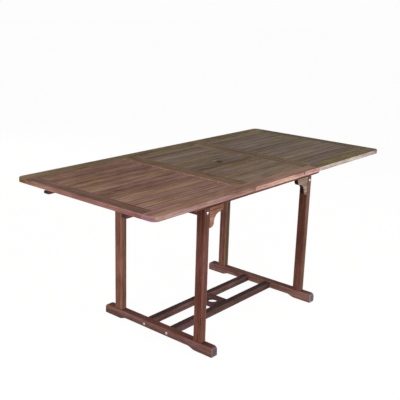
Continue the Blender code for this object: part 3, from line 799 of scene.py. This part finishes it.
def field(node, far, front, back, rail_width, seed):
    """Slats from a rail to a far piece, between a front and a back board, in place of their node."""
    body = body_of[node]
    low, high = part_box(node)
    left_face, right_face = (corner.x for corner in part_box(far))
    if right_face < 0:
        start, end = high.x - rail_width, right_face
        rail_x = (start, high.x)
    else:
        start, end = low.x + rail_width, left_face
        rail_x = (low.x, start)
    low = Vector((rail_x[0], max(low.y, CLEAR - STILE_IN), UNDER))
    high = Vector((rail_x[1], min(high.y, STILE_IN - CLEAR), FACE_OF_TOP))
    rail = board(node + "_rail", low, high, Timber(node + "_rail", "y", (low, high)).done(), body)
    y_low, y_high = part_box(front)[1].y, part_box(back)[0].y
    count = int((y_high - y_low) / SLAT_PITCH)
    sizes = {"Slats": count, "Pitch": SLAT_PITCH, "Length": abs(end - start) - 2 * CLEAR,
             "Width": SLAT_WIDTH, "Thickness": SLAT_HIGH - SLAT_LOW, "Easing": SLAT_EASING,
             "Middle": ((start + end) / 2, (y_low + y_high) / 2, SLAT_MIDDLE), "Seed": seed,
             "Timber": SlatTimber(node, "x").done()}
    slats = made(node + "_row", row_tree, {row_keys[k]: v for k, v in sizes.items()}, body)
    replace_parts(slats, node)
    print(f"{node}: {count} slats from x {start:.4f} to {end:.4f}")


for side, seed in (("left", 3), ("right", 11)):
    leaf = side + "_leaf_"
    field(leaf + "slats", leaf + "end_rail", leaf + "front_stile", leaf + "back_stile", LEAF_RAIL, seed)
for face, front, back, seed in (("back", "insert_centre_board", "insert_back_stile", 23),
                                ("front", "insert_front_stile", "insert_inner_stile", 31)):
    field(f"insert_{face}_slats", f"insert_{face}_right_rail", front, back, INSERT_RAIL, seed)

# %% [markdown]
# ## Metal
# The bolts are zinc plated and the hinges are dark bronze. Plating is never even: it clouds where it is
# handled and carries fine scratches, so roughness and colour both follow a soft noise.

# %% Zinc and bronze
CLOUDS, SCRATCHES, SCRATCHES_ALONG = 90, 900, 160   # in a metre
TARNISH_FROM, TARNISH_SHARE = (0.45, 4), 0.5


def metal(name, colour, dull, roughness):
    """Plated metal, clouded and finely scratched."""
    f = Finish(name)
    x, y, z = f.split(f.node("ShaderNodeTexCoord", out="Object"))
    cloud = f.noise(x * CLOUDS, y * CLOUDS, z * CLOUDS, 3.0)
    scratch = f.noise(x * SCRATCHES, y * SCRATCHES_ALONG, z * SCRATCHES, 1.0)
    tarnished = f.mix(f.rise(cloud, *TARNISH_FROM) * TARNISH_SHARE, rgba(colour), rgba(dull))
    rough = f.clamp(roughness + (cloud - 0.5) * 0.3 + (scratch - 0.5) * 0.2)
    return f.surface(Base_Color=tarnished, Metallic=1.0, Roughness=rough,
                     Normal=f.bump(scratch, 0.1, 0.0002))


zinc = metal("zinc plate", (0.46, 0.44, 0.41), (0.30, 0.29, 0.27), 0.45)
bronze = metal("dark bronze", (0.13, 0.095, 0.06), (0.07, 0.055, 0.045), 0.48)
for side in SIDES:
    for node, finish in (("stud_plate_", zinc), ("insert_hanger_", zinc), ("hinge_back_", bronze),
                         ("hinge_front_", bronze), ("hinge_pin_", bronze)):
        nodes[node + side].data.materials.clear()
        nodes[node + side].data.materials.append(finish)
print("metal on plates, hangers and hinges")

# %% [markdown]
# ## Bolts and screws
# Domed bolts with a hexagon socket hold the trestles together, and countersunk screws with a cross hold the
# runners, the strips and the plates. Each kind is turned once from its profile and its key is cut into the
# head. Then a tree sets it on a list of points, turned to face out of the wood and stopped at a random
# angle, as a hand leaves them.

# %% Turn one fixing
KEY_CREASE, TURNED_POINT = radians(34), 0.000001


def turned(name, profile, steps, cutters):
    """A fixing turned from radius and height, with the shape of its key cut into the head."""
    bm = bmesh.new()
    rim = [bm.verts.new((r, 0, z)) for r, z in profile]
    edges = [bm.edges.new(pair) for pair in zip(rim, rim[1:])]
    bmesh.ops.spin(bm, geom=rim + edges, cent=(0, 0, 0), axis=(0, 0, 1), angle=radians(360), steps=steps)
    bmesh.ops.remove_doubles(bm, verts=bm.verts, dist=TURNED_POINT)
    bmesh.ops.recalc_face_normals(bm, faces=bm.faces)
    blank = placed(name, mesh_of(bm, name))
    for i, cutter in enumerate(cutters):
        cutter.transform(Matrix.Translation((0, 0, profile[0][1])))
        step = blank.modifiers.new("key", "BOOLEAN")
        step.operation, step.solver = "DIFFERENCE", "EXACT"
        step.object = placed(f"{name}_key{i}", cutter)
    mesh = evaluated(blank)
    for step in blank.modifiers:
        bpy.data.objects.remove(step.object)
    blank.modifiers.clear()
    blank.data = mesh
    mesh.shade_smooth()
    mesh.set_sharp_from_angle(angle=KEY_CREASE)
    return blank


def hexagon(across, depth):
    """The hollow for a hexagon key."""
    bm = bmesh.new()
    corner = across / 3 ** 0.5
    bmesh.ops.create_cone(bm, cap_ends=True, segments=6, radius1=corner, radius2=corner, depth=2 * depth)
    return mesh_of(bm, "hexagon")


def bar(size):
    """One arm of a cross."""
    bm = bmesh.new()
    bmesh.ops.create_cube(bm, size=1.0)
    bmesh.ops.scale(bm, vec=size, verts=bm.verts)
    return mesh_of(bm, "bar")


print("fixings can be turned")

# %% One bolt and one screw
HEAD, CROWN, SHANK, REACH = 0.0068, 0.0034, 0.003, 0.070
BOLT_SIDES, SCREW_SIDES = 32, 20
KEY_ACROSS, KEY_DEPTH = 0.004, 0.0018
CROSS_LENGTH, CROSS_WIDTH, CROSS_DEPTH = 0.0044, 0.0009, 0.0030
dome = [(HEAD * sin(radians(a)), CROWN * (0.3 + 0.7 * cos(radians(a)))) for a in range(0, 91, 10)]
stem = [(HEAD, 0), (SHANK, 0), (SHANK, -REACH), (0, -REACH)]
bolt = turned("bolt", dome + stem, BOLT_SIDES, [hexagon(KEY_ACROSS, KEY_DEPTH)])
countersunk = [(0, 0.0003), (0.0026, 0.00025), (0.0036, 0.0001), (0.0037, 0), (0.0018, -0.002),
               (0.0018, -0.012), (0, -0.014)]   # radius and height
arms = [bar((CROSS_LENGTH, CROSS_WIDTH, CROSS_DEPTH)), bar((CROSS_WIDTH, CROSS_LENGTH, CROSS_DEPTH))]
screw = turned("screw", countersunk, SCREW_SIDES, arms)
print("bolt", len(bolt.data.polygons), "faces, screw", len(screw.data.polygons), "faces")

# %% The tree that sets them
def fixing_tree():
    """Puts a fixing on every point, facing the way the point says."""
    g = Tree(bpy.data.node_groups.new("fixings", "GeometryNodeTree"))
    g.tree.interface.new_socket("Geometry", in_out="OUTPUT", socket_type="NodeSocketGeometry")
    keys = {name: group_input(g, kind, name) for name, kind in
            (("Points", "NodeSocketGeometry"), ("Fixing", "NodeSocketObject"),
             ("Plating", "NodeSocketMaterial"), ("Seed", "NodeSocketInt"))}
    given = g.outputs("NodeGroupInput")
    one = g.node("GeometryNodeObjectInfo", {"transform_space": "ORIGINAL"}, {"Object": given["Fixing"]},
                 out="Geometry")
    facing = g.node("GeometryNodeInputNamedAttribute", {"data_type": "FLOAT_VECTOR"}, {"Name": "facing"})
    upright = g.node("FunctionNodeAlignRotationToVector", {"axis": "Z"}, {"Vector": facing})
    stop = g.node("FunctionNodeRandomValue", {"data_type": "FLOAT"},
                  {2: 0.0, 3: radians(360), "Seed": given["Seed"]}, out=1)
    spin = g.node("FunctionNodeAxisAngleToRotation", None, {"Axis": (0, 0, 1), "Angle": stop})
    turn = g.node("FunctionNodeRotateRotation", {"rotation_space": "LOCAL"},
                  {"Rotation": upright, "Rotate By": spin})
    set_in = g.node("GeometryNodeInstanceOnPoints", None,
                    {"Points": given["Points"], "Instance": one, "Rotation": turn})
    real = g.node("GeometryNodeRealizeInstances", None, {"Geometry": set_in})
    skin = g.node("GeometryNodeSetMaterial", None, {"Geometry": real, "Material": given["Plating"]})
    g.node("NodeGroupOutput", None, {"Geometry": skin})
    return g.tree, keys


fix_tree, fix_keys = fixing_tree()
print("fixing tree with", ", ".join(fix_keys))


def fixed(name, fixing, spots, seed, body):
    """Fixings at spots, each a place and the way it faces, as one piece on a body."""
    values = {fix_keys["Fixing"]: fixing, fix_keys["Plating"]: zinc, fix_keys["Seed"]: seed}
    piece = made(name, fix_tree, values, body, spots)
    print(f"{name}: {len(spots)} on {body}")
    return piece

# %% Bolts in their places
OUT = {"left": -1, "right": 1, "front": -1, "back": 1}   # which way a side or face looks
spots, bolted = [], []
for side in SIDES:
    for face in FACES:
        sx, sy = OUT[side], OUT[face]
        low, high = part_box(f"leg_bolt_{side}_{face}")
        seat = sy * (max(-low.y, high.y) - CROWN)
        spots.append(((low.x / 2 + high.x / 2, seat, low.z / 2 + high.z / 2), (0, sy, 0)))
        low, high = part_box(f"stretcher_bolt_{side}_{face}")
        seat = sx * (max(-low.x, high.x) - CROWN)
        spots.append(((seat, low.y / 2 + high.y / 2, low.z / 2 + high.z / 2), (sx, 0, 0)))
        bolted += [f"leg_bolt_{side}_{face}", f"stretcher_bolt_{side}_{face}"]
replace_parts(fixed("trestle_bolts", bolt, spots, 5, "base"), *bolted)

# %% Screws in the base
SHEET = 0.003                        # of the stud plates and hangers
STRIP_SCREWS = (-0.2, 0.0, 0.2)      # along a keeper strip
PLATE_SCREWS, PLATE_RISE = (-0.013, 0.013), 0.011
HANGER_SCREWS, HANGER_X = (-0.017, 0.017), 0.226
spots = []
for face in FACES:
    sy, (low, high) = OUT[face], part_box("keeper_strip_" + face)
    inner = min(abs(low.y), abs(high.y))
    spots += [((x, sy * inner, low.z / 2 + high.z / 2), (0, -sy, 0)) for x in STRIP_SCREWS]
for side in SIDES:
    sx, (low, high) = OUT[side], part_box("stud_plate_" + side)
    middle, seat = low.y / 2 + high.y / 2, sx * (max(-low.x, high.x) - SHEET)
    spots += [((seat, middle + dy, low.z + PLATE_RISE), (-sx, 0, 0)) for dy in PLATE_SCREWS]
    low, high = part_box("insert_hanger_" + side)
    spots += [((sx * HANGER_X, middle + dy, high.z - SHEET), (0, 0, -1)) for dy in HANGER_SCREWS]
fixed("base_screws", screw, spots, 7, "base")

# %% Screws in the leaves
RUNNER_SCREWS = (0.272, 0.802, 0.821)            # along a runner, from the middle of the table
RUNNER_HEIGHT, SCREW_INSET = 0.023, 0.0108
for side in SIDES:
    sx, spots = OUT[side], []
    for face in FACES:
        sy, (low, high) = OUT[face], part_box(f"{side}_leaf_{face}_runner")
        line = sy * (min(abs(low.y), abs(high.y)) + SCREW_INSET)
        spots += [((sx * x, line, high.z - RUNNER_HEIGHT), (0, 0, -1)) for x in RUNNER_SCREWS]
    fixed(side + "_leaf_screws", screw, spots, 13 + sx, side + "_leaf")
for blank in (bolt, screw):
    bpy.data.objects.remove(blank)

# %% [markdown]
# ## The studio
# A pale floor without a horizon, a broad soft lamp in front, a weaker one behind and a little light from
# everywhere. In the photograph the light turns from rosy at the left to greenish at the right, so a rosy
# lamp stands at the left and a faint green one at the right. What the camera sees of floor and world is
# white, while the wood is lit at a plain level.

# %% Floor
FLOOR_HALF, FLOOR_DROP = 30, 0.0004
GLOW, GLOW_SHARE = 1.07, 0.90   # of the white that the camera sees, and the rest keeps the shadow


def emptied(tree):
    """A node tree with nothing in it yet."""
    tree.nodes.clear()
    return Tree(tree)


bm = bmesh.new()
bmesh.ops.create_grid(bm, x_segments=1, y_segments=1, size=FLOOR_HALF)
bmesh.ops.translate(bm, vec=(0, 0, -FLOOR_DROP), verts=bm.verts)
floor = placed("floor", mesh_of(bm, "floor"))
pale = bpy.data.materials.new("pale floor")
pale.use_nodes = True
t = emptied(pale.node_tree)
matt = t.node("ShaderNodeBsdfDiffuse", None, {"Color": (0.48, 0.46, 0.45, 1)})
white = t.node("ShaderNodeEmission", None, {"Color": (1, 1, 1, 1), "Strength": GLOW})
skin = t.node("ShaderNodeMixShader", None, {0: t.seen() * GLOW_SHARE, 1: matt, 2: white})
t.node("ShaderNodeOutputMaterial", None, {"Surface": skin})
floor.data.materials.append(pale)
print("floor", tuple(floor.dimensions))

# %% Light
AMBIENT, SHOWN = 0.27, 0.98   # the world's strength as light, and as the camera sees it
world = bpy.data.worlds.new("studio")
bpy.context.scene.world = world
world.use_nodes = True
t = emptied(world.node_tree)
strength = t.seen() * (SHOWN - AMBIENT) + AMBIENT
back = t.node("ShaderNodeBackground", None, {"Color": (1, 1, 1, 1), "Strength": strength})
t.node("ShaderNodeOutputWorld", None, {"Surface": back})


def lamp(name, place, towards, size, power, colour):
    """A round soft lamp."""
    light = bpy.data.lights.new(name, "AREA")
    light.shape, light.size, light.energy, light.color = "DISK", size, power, colour
    stand = placed(name, light)
    stand.location = place
    stand.rotation_euler = (Vector(towards) - Vector(place)).to_track_quat("-Z", "Y").to_euler()


lamp("front", (1.1, -4.0, 1.30), (0.1, 0, 0.6), size=2.4, power=205, colour=(1.0, 0.97, 0.94))
lamp("left", (-3.0, -0.6, 1.50), (-0.3, 0, 0.6), size=1.6, power=80, colour=(1.0, 0.78, 0.78))
lamp("right", (2.5, 1.0, 1.75), (0.5, 0, 0.7), size=1.6, power=5, colour=(0.72, 1.0, 0.70))
lamp("back", (0.6, 4.4, 2.0), (0, 0, 0.6), size=2.6, power=48, colour=(0.96, 1.0, 0.90))
print("world and four lamps")

# %% [markdown]
# ## Last things
# Colours are shown as they are written.

# %% Plain view settings
bpy.context.scene.view_settings.view_transform = "Standard"
print("colours as they are")
